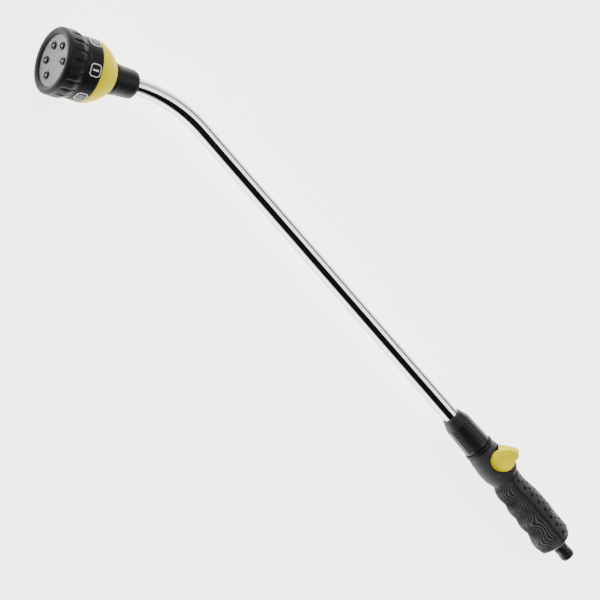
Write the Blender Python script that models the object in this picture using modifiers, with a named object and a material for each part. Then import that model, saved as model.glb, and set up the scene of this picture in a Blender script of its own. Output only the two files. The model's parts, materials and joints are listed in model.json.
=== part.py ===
"""A garden watering wand: a turret spray head on a bent chrome tube, with a thumb-valve handle.

Sizes are in millimetres here and become metres in the helpers. The wand lies on its side:
+X runs along the straight tube towards the hose, +Z stands square to the plane of the tube's bend.
Inside a frame, local z runs along the piece's own axis.
"""

import math

import bmesh
import bpy
from mathutils import Matrix, Vector

MM = 0.001
GAP = 0.3

# Tube, measured along the handle's axis from the joint between union nut and handle (x = 0).
TUBE_RADIUS = 8.0
TUBE_WALL = 0.8
TUBE_END = -4.0
BEND_ANGLE = math.radians(30.3)
BEND_RADIUS = 155.0
BEND_VERTEX = -486.0
HEAD_FROM_VERTEX = 38.1
TUBE_STOP = 25.0

# Spray head, measured from its frame, a little behind the end of the neck.
NECK_START = 7.5
FACE_FRONT = 98.3
FACE_THICKNESS = 3.0
NOZZLE_PITCH_RADIUS = 17.0
NOZZLE_COUNT = 5
NOZZLE_STEP = 60.0
NOZZLE_START = -5.0
NOZZLE_RADIUS = 3.9
NOZZLE_BORE = 2.7

# Handle.
THUMB_ANGLE = math.radians(44.0)
HOUSING_START = 1.0
GRIP_START = 42.0
GRIP_END = 134.0
HOUSING_END = 137.0
SKIN = 2.4
SKIN_STEP = 0.4
SEAM_ANGLE = 60.0
SECTION_STEP = 15
CHANNEL_RADIUS = 8.5
WATER_TUBE_RADIUS = 6.2
WATER_TUBE_START = 46.3
WATER_TUBE_STOP = 123.0
PLUG_DROP = 4.0
PLUG_START = 125.0
PLUG_END = 153.0
PLUG_BORE = 4.2
SCREW_PLACES = (58.0, 86.0, 114.0)
SCREW_HEIGHT = 8.6

# Thumb lever and the valve spool that it moves.
LEVER_X = 20.0
LEVER_HEIGHT = 14.0
HUB_RADIUS = 12.3
HUB_WIDTH = 12.3
DRUM_START = 0.6
DRUM_RADIUS = 10.2
CHEEK_START = 9.3
BOSS_RADIUS = 9.8
BOSS_WIDTH = 9.0
TAB_HALF_WIDTH = 4.2
TAB_CENTRE = 7.5
LEVER_TRAVEL = math.radians(35.0)
FINGER_LENGTH = 10.0
SPOOL_RADIUS = 5.6
CHAMBER_RADIUS = 6.0

FINE = 32
ROUND = 20
SMALL = 12

# name: (colour, metallic, roughness)
FINISHES = {
    "black_plastic": ((0.018, 0.018, 0.02), 0.0, 0.45),
    "dark_grey_plastic": ((0.06, 0.06, 0.065), 0.0, 0.55),
    "grip_rubber": ((0.045, 0.045, 0.045), 0.0, 0.8),
    "yellow_plastic": ((0.85, 0.66, 0.02), 0.0, 0.35),
    "chrome": ((0.9, 0.9, 0.92), 1.0, 0.08),
    "brushed_plate": ((0.35, 0.36, 0.37), 0.7, 0.4),
    "grey_plastic": ((0.55, 0.55, 0.55), 0.0, 0.5),
    "white_acetal": ((0.75, 0.75, 0.72), 0.0, 0.4),
    "seal_rubber": ((0.012, 0.012, 0.012), 0.0, 0.7),
    "steel": ((0.6, 0.6, 0.62), 1.0, 0.3),
}


def clear_scene():
    for obj in list(bpy.data.objects):
        bpy.data.objects.remove(obj, do_unlink=True)


def new_collection(name):
    collection = bpy.data.collections.new(name)
    bpy.context.scene.collection.children.link(collection)
    return collection


def material(name):
    """The finish of that name, made on its first use."""
    found = bpy.data.materials.get(name)
    if found:
        return found
    colour, metallic, roughness = FINISHES[name]
    made = bpy.data.materials.new(name)
    made.use_nodes = True
    shader = made.node_tree.nodes["Principled BSDF"]
    shader.inputs["Base Color"].default_value = (*colour, 1.0)
    shader.inputs["Metallic"].default_value = metallic
    shader.inputs["Roughness"].default_value = roughness
    return made


def frame_empty(name, parent, columns, origin):
    """An empty whose local x, y and z point along the three columns."""
    empty = bpy.data.objects.new(name, None)
    PARTS.objects.link(empty)
    empty.parent = parent
    turn = Matrix(columns).transposed().to_4x4()
    empty.matrix_local = Matrix.Translation(Vector(origin) * MM) @ turn
    return empty


def finish(name, mesh, frame, finish_name):
    """Adds a mesh to the model: a part with a finish, or a cutter when finish_name is None."""
    obj = bpy.data.objects.new(name, mesh)
    (PARTS if finish_name else CUTTERS).objects.link(obj)
    obj.parent = frame
    if finish_name:
        mesh.materials.append(material(finish_name))
    else:
        obj.hide_render = True
        obj.display_type = "WIRE"
    return obj


def turned(name, profile, frame, finish_name, segments=ROUND, at=(0.0, 0.0)):
    """A solid of revolution about the line parallel to local z through at.

    The profile is a list of (z, radius): a closed loop, or open where it starts and ends at radius 0.
    """
    loop = list(profile)
    doubled_area = sum(
        z0 * r1 - z1 * r0 for (z0, r0), (z1, r1) in zip(loop, loop[1:] + loop[:1])
    )
    # The screw faces outwards when the outer side runs from high z to low z.
    if doubled_area < 0:
        loop.reverse()
    mesh = bpy.data.meshes.new(name)
    points = [(r * MM, 0.0, z * MM) for z, r in loop]
    edges = [(i, i + 1) for i in range(len(loop) - 1)]
    if loop[0][1] > 0:
        edges.append((len(loop) - 1, 0))
    mesh.from_pydata(points, edges, [])
    obj = finish(name, mesh, frame, finish_name)
    obj.location = (at[0] * MM, at[1] * MM, 0.0)
    screw = obj.modifiers.new("turn", "SCREW")
    screw.steps = segments
    screw.render_steps = segments
    screw.use_merge_vertices = True
    screw.merge_threshold = 0.00001
    screw.use_smooth_shade = True
    return obj


def ring(name, frame, finish_name, z, radius, thickness, segments=ROUND, at=(0.0, 0.0)):
    """An O-ring: a circle of the given cross-section turned about the axis."""
    section = [
        (z + thickness / 2 * math.cos(a), radius + thickness / 2 * math.sin(a))
        for a in (math.tau * i / 6 for i in range(6))
    ]
    return turned(name, section, frame, finish_name, segments, at)


def shaped(name, frame, finish_name, build):
    """A mesh object whose shape the build function adds to an empty bmesh, in metres."""
    bm = bmesh.new()
    build(bm)
    bmesh.ops.recalc_face_normals(bm, faces=bm.faces)
    mesh = bpy.data.meshes.new(name)
    bm.to_mesh(mesh)
    bm.free()
    mesh.shade_smooth()
    mesh.set_sharp_from_angle(angle=math.radians(35))
    return finish(name, mesh, frame, finish_name)


def cylinder(name, frame, finish_name, radius, start, end, segments=SMALL):
    """A cylinder between two points, given in millimetres in its frame."""
    start, end = Vector(start), Vector(end)
    along = end - start
    turn = along.to_track_quat("Z", "Y").to_matrix().to_4x4()
    matrix = Matrix.Translation((start + end) / 2 * MM) @ turn

    def build(bm):
        bmesh.ops.create_cone(
            bm,
            cap_ends=True,
            segments=segments,
            radius1=radius * MM,
            radius2=radius * MM,
            depth=along.length * MM,
            matrix=matrix,
        )

    return shaped(name, frame, finish_name, build)


def box(name, frame, finish_name, low, high, turn=None):
    """A box between two corners, turned about its frame's origin where a turn is given."""
    low, high = Vector(low), Vector(high)
    matrix = Matrix.Translation((low + high) / 2 * MM) @ Matrix.Diagonal((high - low) * MM).to_4x4()
    if turn:
        matrix = turn @ matrix

    def build(bm):
        bmesh.ops.create_cube(bm, size=1.0, matrix=matrix)

    return shaped(name, frame, finish_name, build)


def as_mesh(curve_object, name, frame, finish_name):
    """Turns a curve object into a mesh object with closed caps and removes the curve."""
    bpy.context.view_layer.update()
    graph = bpy.context.evaluated_depsgraph_get()
    mesh = bpy.data.meshes.new_from_object(curve_object.evaluated_get(graph))
    bm = bmesh.new()
    bm.from_mesh(mesh)
    bmesh.ops.remove_doubles(bm, verts=bm.verts, dist=0.00001)
    bm.to_mesh(mesh)
    bm.free()
    mesh.name = name
    mesh.materials.clear()
    place = curve_object.matrix_local.copy()
    bpy.data.objects.remove(curve_object, do_unlink=True)
    mesh.shade_smooth()
    mesh.set_sharp_from_angle(angle=math.radians(40))
    obj = finish(name, mesh, frame, finish_name)
    obj.matrix_local = place
    return obj


def plate(name, outline, frame, finish_name, half_width, centre=0.0):
    """A flat outline of (z, x) points, extruded both ways along local y."""
    curve = bpy.data.curves.new(name, "CURVE")
    curve.dimensions = "2D"
    curve.fill_mode = "BOTH"
    curve.extrude = half_width * MM
    spline = curve.splines.new("POLY")
    spline.points.add(len(outline) - 1)
    for point, (z, x) in zip(spline.points, outline):
        point.co = (z * MM, x * MM, 0.0, 1.0)
    spline.use_cyclic_u = True
    obj = bpy.data.objects.new(name, curve)
    PARTS.objects.link(obj)
    obj.parent = frame
    turn = Matrix(((0, 1, 0), (0, 0, 1), (1, 0, 0))).to_4x4()
    obj.matrix_local = Matrix.Translation((0.0, centre * MM, 0.0)) @ turn
    return as_mesh(obj, name, frame, finish_name)


def piped(name, path, frame, finish_name, radius, resolution=2, caps=True):
    """A round bar or a tube's outer surface along a path of (x, y, z) points."""
    curve = bpy.data.curves.new(name, "CURVE")
    curve.dimensions = "3D"
    curve.bevel_depth = radius * MM
    curve.bevel_resolution = resolution
    curve.use_fill_caps = caps
    spline = curve.splines.new("POLY")
    spline.points.add(len(path) - 1)
    for point, place in zip(spline.points, path):
        point.co = (*(Vector(place) * MM), 1.0)
    obj = bpy.data.objects.new(name, curve)
    PARTS.objects.link(obj)
    obj.parent = frame
    return as_mesh(obj, name, frame, finish_name)


def hollow(obj, wall):
    solidify = obj.modifiers.new("wall", "SOLIDIFY")
    solidify.thickness = wall * MM
    solidify.offset = -1.0
    solidify.use_even_offset = True


def boolean(obj, operation, others):
    for other in others:
        modifier = obj.modifiers.new(operation.lower(), "BOOLEAN")
        modifier.operation = operation
        modifier.object = other
        modifier.solver = "EXACT"


def loft(bm, rings):
    """Closed rings of points joined one to the next, with a cap at each end."""
    rows = [[bm.verts.new(Vector(p) * MM) for p in points] for points in rings]
    count = len(rows[0])
    for row, following in zip(rows, rows[1:]):
        for i in range(count):
            j = (i + 1) % count
            bm.faces.new((row[i], row[j], following[j], following[i]))
    bm.faces.new(rows[0])
    bm.faces.new(rows[-1])


# ---------------------------------------------------------------- frames


def make_frames():
    """The empties that the parts hang on: handle, lance, head, lever and spool."""
    root = bpy.data.objects.new("watering_wand", None)
    PARTS.objects.link(root)
    sine, cosine = math.sin(THUMB_ANGLE), math.cos(THUMB_ANGLE)
    handle = frame_empty(
        "handle_frame", root, ((0, cosine, sine), (0, -sine, cosine), (1, 0, 0)), (0, 0, 0)
    )
    lance = frame_empty("lance_frame", root, ((0, 1, 0), (0, 0, 1), (1, 0, 0)), (0, 0, 0))
    facing = Vector((-math.cos(BEND_ANGLE), -math.sin(BEND_ANGLE), 0.0))
    up = Vector((0.0, 0.0, 1.0))
    head_start = Vector((BEND_VERTEX, 0.0, 0.0)) + facing * HEAD_FROM_VERTEX
    head = frame_empty("head_frame", root, (up, facing.cross(up), facing), head_start)
    lever = frame_empty(
        "lever_frame", handle, ((1, 0, 0), (0, 1, 0), (0, 0, 1)), (LEVER_HEIGHT, 0, LEVER_X)
    )
    spool = frame_empty("spool_frame", handle, ((1, 0, 0), (0, 1, 0), (0, 0, 1)), (0, 0, 0))
    return root, handle, lance, head, lever, spool


# ---------------------------------------------------------------- spray head


def make_head_body(head):
    turned(
        "neck_socket",
        [
            (NECK_START, 8.3), (NECK_START, 11.5), (NECK_START + 2.0, 13.6),
            (NECK_START + 5.0, 14.5), (33.0, 15.4), (35.7, 15.2),
            (35.7, 9.6), (44.0, 9.6), (44.0, 5.0), (26.0, 5.0), (26.0, 8.3),
            (23.0, 8.3), (23.0, 9.6), (20.4, 9.6), (20.4, 8.3),
        ],
        head,
        "black_plastic",
    )
    ring("neck_seal", head, "seal_rubber", 21.7, 8.85, 1.0)
    outside = [(36.0, 16.5), (40.0, 20.4), (45.0, 24.5), (50.0, 27.7), (55.0, 30.0), (61.0, 31.5)]
    inside = [(61.0, 29.2), (55.0, 27.6), (50.0, 25.2), (45.0, 21.8), (40.0, 17.6), (36.0, 14.0)]
    turned("head_shell", outside + inside, head, "yellow_plastic", FINE)


def make_head_core(head):
    core = turned(
        "head_core",
        [
            (36.6, 10.0), (36.6, 13.2), (40.0, 16.6), (45.0, 20.8), (50.0, 23.4), (60.7, 23.4),
            (60.7, 1.5), (50.0, 1.5), (50.0, 4.5), (57.0, 4.5), (57.0, 20.8), (49.0, 20.0),
            (46.5, 6.0), (44.6, 6.0), (44.6, 10.0),
        ],
        head,
        "grey_plastic",
        FINE,
    )
    angle = math.radians(NOZZLE_START)
    port = (NOZZLE_PITCH_RADIUS - 2.0) * math.cos(angle), (NOZZLE_PITCH_RADIUS - 2.0) * math.sin(angle)
    cup = cylinder("port_cup", head, None, 5.4, (*port, 50.5), (*port, 58.0))
    pocket = cylinder("port_pocket", head, None, 4.3, (*port, 52.0), (*port, 62.0))
    inlet = cylinder("port_inlet", head, None, 2.4, (*port, 49.0), (*port, 53.0))
    boolean(core, "UNION", [cup])
    boolean(core, "DIFFERENCE", [pocket, inlet])
    turned(
        "port_seal",
        [(57.2, 2.4), (57.2, 3.9), (61.0, 3.9), (61.0, 2.4)],
        head,
        "seal_rubber",
        SMALL,
        port,
    )
    turns, per_turn = 3.5, 10
    coil = [
        (
            port[0] + 3.2 * math.cos(math.tau * i / per_turn),
            port[1] + 3.2 * math.sin(math.tau * i / per_turn),
            52.8 + 3.6 * i / (turns * per_turn),
        )
        for i in range(int(turns * per_turn) + 1)
    ]
    piped("seal_spring", coil, head, "steel", 0.35, 1)
    turned(
        "turret_screw",
        [(52.0, 0.0), (52.0, 1.3), (64.7, 1.3), (64.7, 3.6), (66.8, 3.6), (66.8, 0.0)],
        head,
        "steel",
        SMALL,
    )
    box("click_spring", head, "steel", (-5.0, -26.6, 56.2), (5.0, -25.9, 60.4))


def make_dial(head):
    """The turret: ring, selector disc, face plate and its nozzles, which turn as one."""
    turned(
        "dial_ring",
        [
            (61.3, 28.4), (61.3, 31.3), (63.0, 31.6), (72.0, 31.3), (76.0, 30.8), (79.5, 31.6),
            (84.0, 33.1), (90.0, 33.6), (96.5, 33.6), (99.6, 32.7), (100.9, 30.9), (101.0, 29.6),
            (100.6, 27.2), (99.6, 25.8), (98.6, 25.6), (98.6, 28.4),
        ],
        head,
        "black_plastic",
        FINE,
    )
    disc = turned(
        "selector_disc",
        [(61.4, 1.7), (61.4, 28.1), (64.3, 28.1), (64.3, 1.7)],
        head,
        "grey_plastic",
        FINE,
    )
    face = turned(
        "face_plate",
        [
            (FACE_FRONT - FACE_THICKNESS, 0.0), (FACE_FRONT - FACE_THICKNESS, 28.0),
            (FACE_FRONT, 28.0), (FACE_FRONT, 25.0), (FACE_FRONT - 0.8, 12.0),
            (FACE_FRONT - 1.0, 0.0),
        ],
        head,
        "brushed_plate",
        FINE,
    )
    for number in range(NOZZLE_COUNT):
        angle = math.radians(NOZZLE_START + NOZZLE_STEP * number)
        at = (NOZZLE_PITCH_RADIUS * math.cos(angle), NOZZLE_PITCH_RADIUS * math.sin(angle))
        hole = cylinder(f"face_hole_{number + 1}", head, None, 4.2, (*at, 90.0), (*at, 102.0), 24)
        boolean(face, "DIFFERENCE", [hole])
        port = cylinder(f"disc_port_{number + 1}", head, None, 2.4, (*at, 60.0), (*at, 66.0))
        boolean(disc, "DIFFERENCE", [port])
        make_nozzle(number + 1, head, at)


def make_nozzle(number, head, at):
    turned(
        f"nozzle_{number}",
        [
            (64.6, NOZZLE_BORE), (64.6, 5.2), (66.2, 5.2), (66.2, NOZZLE_RADIUS),
            (98.0, NOZZLE_RADIUS), (98.4, 3.6), (98.4, NOZZLE_BORE),
        ],
        head,
        "black_plastic",
        SMALL,
        at,
    )
    pin = turned(
        f"spray_pin_{number}",
        [(84.0, 0.0), (84.0, 1.0), (96.2, 1.0), (97.0, 1.4), (98.2, 1.3), (98.2, 0.0)],
        head,
        "white_acetal",
        12,
        at,
    )
    for arm in range(2):
        across = (2.3, 0.4) if arm == 0 else (0.4, 2.3)
        web = box(
            f"pin_web_{number}_{arm}",
            head,
            None,
            (at[0] - across[0], at[1] - across[1], 84.5),
            (at[0] + across[0], at[1] + across[1], 88.0),
        )
        boolean(pin, "UNION", [web])


# ---------------------------------------------------------------- tube and union nut


def bend_path():
    """Points of the tube's centre line, from the handle to inside the head's neck."""
    tangent = BEND_RADIUS * math.tan(BEND_ANGLE / 2)
    path = [(TUBE_END, 0.0)]
    steps = 10
    for i in range(steps + 1):
        angle = BEND_ANGLE * i / steps
        along = BEND_VERTEX + tangent - BEND_RADIUS * math.sin(angle)
        path.append((along, -BEND_RADIUS * (1 - math.cos(angle))))
    reach = HEAD_FROM_VERTEX + TUBE_STOP
    path.append(
        (BEND_VERTEX - reach * math.cos(BEND_ANGLE), -reach * math.sin(BEND_ANGLE))
    )
    return path


def make_lance(lance):
    path = [(across, 0.0, along) for along, across in bend_path()]
    tube = piped("lance_tube", path, lance, "chrome", TUBE_RADIUS, 8, caps=False)
    hollow(tube, TUBE_WALL)
    turned(
        "tube_ferrule",
        [(-25.0, 8.25), (-25.0, 9.6), (-23.0, 10.5), (-20.6, 10.5), (-20.6, 8.25)],
        lance,
        "brushed_plate",
    )
    ring("tube_seal", lance, "seal_rubber", -12.0, 8.85, 1.1)


def make_union_nut(handle):
    turned(
        "union_nut",
        [
            (-46.6, 8.4), (-46.6, 9.6), (-45.6, 10.6), (-36.5, 13.3), (-34.0, 13.8), (-4.4, 14.4),
            (-3.4, 14.0), (-3.4, 12.2), (-25.6, 12.2), (-25.6, 11.4), (-38.4, 11.4), (-38.4, 8.4),
        ],
        handle,
        "black_plastic",
        FINE,
    )
    collet = turned(
        "collet",
        [(-38.0, 8.3), (-38.0, 10.6), (-36.0, 11.1), (-26.2, 11.1), (-26.2, 8.3)],
        handle,
        "white_acetal",
    )
    slot = box("collet_split", handle, None, (7.0, -0.8, -40.0), (13.0, 0.8, -24.0))
    boolean(collet, "DIFFERENCE", [slot])
    turned(
        "collar_ring",
        [(-3.1, 12.2), (-3.1, 15.3), (-2.3, 15.9), (-0.1, 15.9), (0.6, 15.2), (0.6, 12.2)],
        handle,
        "black_plastic",
        FINE,
    )


# ---------------------------------------------------------------- valve


def make_valve(handle, spool):
    body = turned(
        "valve_body",
        [
            (-20.2, 8.3), (-20.2, 11.2), (-3.4, 11.2), (-3.4, 11.9), (0.9, 11.9), (0.9, CHANNEL_RADIUS),
            (46.0, CHANNEL_RADIUS), (46.0, 3.6), (37.0, 3.6), (37.0, CHAMBER_RADIUS),
            (-3.2, CHAMBER_RADIUS), (-3.2, 8.3), (-10.9, 8.3), (-10.9, 9.7), (-13.1, 9.7), (-13.1, 8.3),
        ],
        handle,
        "grey_plastic",
    )
    window = box("finger_window", handle, None, (4.0, -2.2, 13.5), (10.0, 2.2, 26.5))
    boolean(body, "DIFFERENCE", [window])
    swing = FINGER_LENGTH * math.sin(LEVER_TRAVEL / 2)
    waist = LEVER_X - swing
    piston = turned(
        "valve_spool",
        [
            (8.5, 1.8), (8.5, SPOOL_RADIUS), (10.6, SPOOL_RADIUS), (10.6, 4.0), (12.4, 4.0),
            (12.4, SPOOL_RADIUS), (waist - 2.4, SPOOL_RADIUS), (waist - 2.4, 3.5),
            (waist + 2.4, 3.5), (waist + 2.4, SPOOL_RADIUS), (21.2, SPOOL_RADIUS), (21.2, 4.0),
            (23.0, 4.0), (23.0, SPOOL_RADIUS), (24.5, SPOOL_RADIUS), (25.0, 4.4), (29.5, 4.4),
            (32.5, 2.4), (32.5, 1.8),
        ],
        spool,
        "white_acetal",
        24,
    )
    nose = cylinder("spool_nose", spool, None, 2.3, (0, 0, 29.0), (0, 0, 32.5))
    cross_hole = cylinder("spool_cross_hole", spool, None, 1.3, (-7, 0, 27.2), (7, 0, 27.2), 12)
    boolean(piston, "UNION", [nose])
    boolean(piston, "DIFFERENCE", [cross_hole])
    ring("spool_seal_front", spool, "seal_rubber", 11.5, 4.95, 1.4, 24)
    ring("spool_seal_rear", spool, "seal_rubber", 22.1, 4.95, 1.4, 24)


def arc_points(radius, first, last, steps):
    """Points (along z, along x) on a circle about the frame's origin, angles from +z to +x."""
    angles = [math.radians(first + (last - first) * i / steps) for i in range(steps + 1)]
    return [(radius * math.cos(a), radius * math.sin(a)) for a in angles]


def make_lever(lever):
    """A drum with one cheek that saddles the housing's boss, with a thumb tab, and its cam shaft."""
    drum = cylinder(
        "thumb_lever",
        lever,
        "yellow_plastic",
        HUB_RADIUS,
        (0, DRUM_START, 0),
        (0, HUB_WIDTH, 0),
        FINE,
    )
    tab_outline = [(-10.4, 6.0), (-6.5, 12.6)]
    tab_outline += [(z + 1.8, x + 12.4) for z, x in arc_points(5.2, 128, -8, 6)]
    tab_outline += [(11.4, 4.4), (0.0, 3.0)]
    tab = plate("lever_tab", tab_outline, lever, None, TAB_HALF_WIDTH, TAB_CENTRE)
    hollow_start, hollow_stop = (0, -CHEEK_START, 0), (0, CHEEK_START, 0)
    hollow_drum = cylinder("drum_hollow", lever, None, DRUM_RADIUS, hollow_start, hollow_stop, FINE)
    mouth_outline = [(0.0, 0.0)] + arc_points(14.0, 165, 355, 12)
    mouth = plate("drum_mouth", mouth_outline, lever, None, CHEEK_START)
    bore = cylinder("cheek_bore", lever, None, 2.7, (0, 0, 0), (0, 14, 0))
    boolean(drum, "UNION", [tab])
    boolean(drum, "DIFFERENCE", [hollow_drum, mouth, bore])
    shaft = cylinder("cam_shaft", lever, "steel", 2.4, (0, -8.2, 0), (0, HUB_WIDTH - 0.1, 0))
    journal = cylinder("shaft_journal", lever, None, 2.9, (0, -7.0, 0), (0, 8.8, 0))
    lean = Matrix.Rotation(-LEVER_TRAVEL / 2, 4, "Y")
    finger = box("cam_finger", lever, None, (-FINGER_LENGTH, -1.6, -1.2), (0.0, 1.6, 1.2), lean)
    boolean(shaft, "UNION", [journal, finger])


# ---------------------------------------------------------------- housing and grip


def blend(table, x):
    """A smooth value between the table's (x, value) rows."""
    for (x0, v0), (x1, v1) in zip(table, table[1:]):
        if x <= x1:
            t = max(0.0, (x - x0) / (x1 - x0))
            return v0 + (v1 - v0) * t * t * (3 - 2 * t)
    return table[-1][1]


TOP_HEIGHT = (
    (1.0, 14.6), (8.0, 16.6), (14.0, 18.4), (33.0, 18.6), (37.0, 18.4), (41.0, 15.4),
    (52.0, 13.9), (78.0, 16.2), (95.0, 16.3), (106.0, 15.2), (124.0, 15.0), (130.0, 13.0), (137.0, 3.4),
)
HALF_WIDTH = (
    (1.0, 14.8), (20.0, 15.4), (42.0, 13.6), (60.0, 14.6), (90.0, 15.6), (122.0, 16.6),
    (130.0, 14.5), (137.0, 7.6),
)
FINGER_CUSPS = ((42.0, 14.6), (64.5, 17.2), (84.0, 18.8), (104.0, 19.2), (131.5, 21.6))
FINGER_BULGE = (2.4, 1.8, 1.9, 2.6)


def bottom_height(x):
    """Depth of the finger side: a bulge between each two finger cusps."""
    if x <= GRIP_START:
        return blend(((1.0, 15.2), (10.0, 16.4), (22.0, 17.6), (30.0, 17.4), (42.0, 14.6)), x)
    for (x0, r0), (x1, r1), bulge in zip(FINGER_CUSPS, FINGER_CUSPS[1:], FINGER_BULGE):
        if x <= x1:
            t = (x - x0) / (x1 - x0)
            return r0 + (r1 - r0) * t + bulge * math.sin(math.pi * t)
    return blend(((131.5, 21.6), (137.0, 12.0)), x)


def outline_point(x, degrees, inset=0.0):
    """The handle's outside at one station, as (thumb, side) from the axis; 0 degrees is the thumb side."""
    angle = math.radians(degrees)
    up, side = math.cos(angle), math.sin(angle)
    height = blend(TOP_HEIGHT, x) if up > 0 else bottom_height(x)
    squareness = 0.88
    return (
        (height - inset) * math.copysign(abs(up) ** squareness, up),
        (blend(HALF_WIDTH, x) - inset) * math.copysign(abs(side) ** squareness, side),
    )


def half_section(x, inset, mirror):
    """One half of the handle's section, closed along the parting plane."""
    section = []
    for degrees in range(0, 181, SECTION_STEP):
        thumb, side = outline_point(x, degrees, inset)
        section.append((thumb, mirror * max(side, GAP / 2), x))
    return section


def skin_section(x, first, last):
    """A strip of the soft skin: its outer face one way round and its inner face back."""
    between = [a for a in range(-360, 361, SECTION_STEP) if first < a < last]
    steps = [first, *between, last]
    outer = [(*outline_point(x, a), x) for a in steps]
    inner = [(*outline_point(x, a, SKIN - GAP), x) for a in reversed(steps)]
    return outer + inner


def grip_stations():
    """Stations along the soft skin, with one at each finger cusp."""
    first, last = GRIP_START + SKIN_STEP + GAP, GRIP_END
    marks = [c for c, _ in FINGER_CUSPS if first < c < last]
    ends = [first, *marks, last]
    stations = []
    for a, b in zip(ends, ends[1:]):
        steps = max(1, round((b - a) / 5.5))
        stations += [a + (b - a) * i / steps for i in range(steps)]
    return stations + [last]


def cut_lever_seat(half, lever):
    """The boss that the lever's drum turns on, the way round it and the pocket for the cheek."""
    sweep = arc_points(13.0, 207, -9, 18) + arc_points(BOSS_RADIUS, -9, 207, 18)
    drum_way = plate("drum_way", sweep, lever, None, BOSS_WIDTH + 0.2)
    boss = cylinder("boss", lever, None, BOSS_RADIUS, (0, GAP / 2, 0), (0, BOSS_WIDTH, 0), ROUND)
    cheek = cylinder("cheek_pocket", lever, None, 12.9, (0, BOSS_WIDTH, 0), (0, 22.0, 0), FINE)
    boolean(half, "DIFFERENCE", [drum_way])
    boolean(half, "UNION", [boss])
    boolean(half, "DIFFERENCE", [cheek])


def make_housing_half(name, mirror, handle, lever):
    front = [HOUSING_START, 4.0, 8.0, 14.0, 20.0, 26.0, 33.0, 35.0, 37.0, 39.0, 41.0, GRIP_START]
    rear = [GRIP_START + SKIN_STEP, *grip_stations(), HOUSING_END]

    def build(bm):
        sections = [half_section(x, 0.0, mirror) for x in front]
        sections += [half_section(x, SKIN, mirror) for x in rear]
        loft(bm, sections)

    half = shaped(name, handle, "dark_grey_plastic", build)
    tag = name.removeprefix("housing_")
    shaft = cylinder(f"shaft_bore_{tag}", lever, None, 3.2, (0, -8.6, 0), (0, 10, 0))
    finger = box(f"finger_slot_{tag}", handle, None, (4.0, -2.1, 13.0), (14.5, 2.1, 27.0))
    channel = cylinder(
        f"channel_{tag}", handle, None, CHANNEL_RADIUS + GAP, (0, 0, 0.0), (0, 0, 46.6), ROUND
    )
    slope_start, slope_stop = (0, 0, 45.0), (-PLUG_DROP, 0, PLUG_START)
    slope_radius = WATER_TUBE_RADIUS + 0.4
    slope = cylinder(f"water_way_{tag}", handle, None, slope_radius, slope_start, slope_stop, 24)
    socket_start, socket_stop = (-PLUG_DROP, 0, PLUG_START - 3.0), (-PLUG_DROP, 0, 140.0)
    socket = cylinder(f"plug_socket_{tag}", handle, None, 6.5, socket_start, socket_stop, 24)
    groove_start, groove_stop = (-PLUG_DROP, 0, 127.7), (-PLUG_DROP, 0, 131.3)
    flange = cylinder(f"plug_groove_{tag}", handle, None, 8.6, groove_start, groove_stop, 24)
    if mirror > 0:
        cut_lever_seat(half, lever)
    boolean(half, "DIFFERENCE", [shaft, finger, channel, slope, socket, flange])
    for number, x in enumerate(SCREW_PLACES, 1):
        depth = 6.6 if mirror > 0 else -20.0
        start, stop = (SCREW_HEIGHT, 0, x), (SCREW_HEIGHT, depth, x)
        hole = cylinder(f"screw_hole_{tag}_{number}", handle, None, 1.5, start, stop)
        boolean(half, "DIFFERENCE", [hole])
        if mirror < 0:
            start = (SCREW_HEIGHT, -3.9, x)
            recess = cylinder(f"screw_recess_{number}", handle, None, 2.9, start, stop, 16)
            boolean(half, "DIFFERENCE", [recess])


def make_screws(handle):
    for number, x in enumerate(SCREW_PLACES, 1):
        tip, neck = (SCREW_HEIGHT, 6.0, x), (SCREW_HEIGHT, -4.3, x)
        shank = cylinder(f"housing_screw_{number}", handle, "steel", 1.2, tip, neck)
        seat, top = (SCREW_HEIGHT, -4.2, x), (SCREW_HEIGHT, -5.9, x)
        head = cylinder(f"screw_head_{number}", handle, None, 2.5, seat, top, 16)
        low, high = (SCREW_HEIGHT - 3.0, -7.0, x - 0.35), (SCREW_HEIGHT + 3.0, -5.3, x + 0.35)
        slot = box(f"screw_slot_{number}", handle, None, low, high)
        boolean(shank, "UNION", [head])
        boolean(shank, "DIFFERENCE", [slot])


def make_grip(handle):
    edge = 1.0
    stations = grip_stations()

    def build_sleeve(bm):
        loft(bm, [skin_section(x, SEAM_ANGLE + edge, 360.0 - SEAM_ANGLE - edge) for x in stations])

    def build_pad(bm):
        loft(bm, [skin_section(x, -SEAM_ANGLE + edge, SEAM_ANGLE - edge) for x in stations])

    shaped("grip_sleeve", handle, "grip_rubber", build_sleeve)
    shaped("thumb_pad", handle, "grip_rubber", build_pad)


# ---------------------------------------------------------------- hose end


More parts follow.
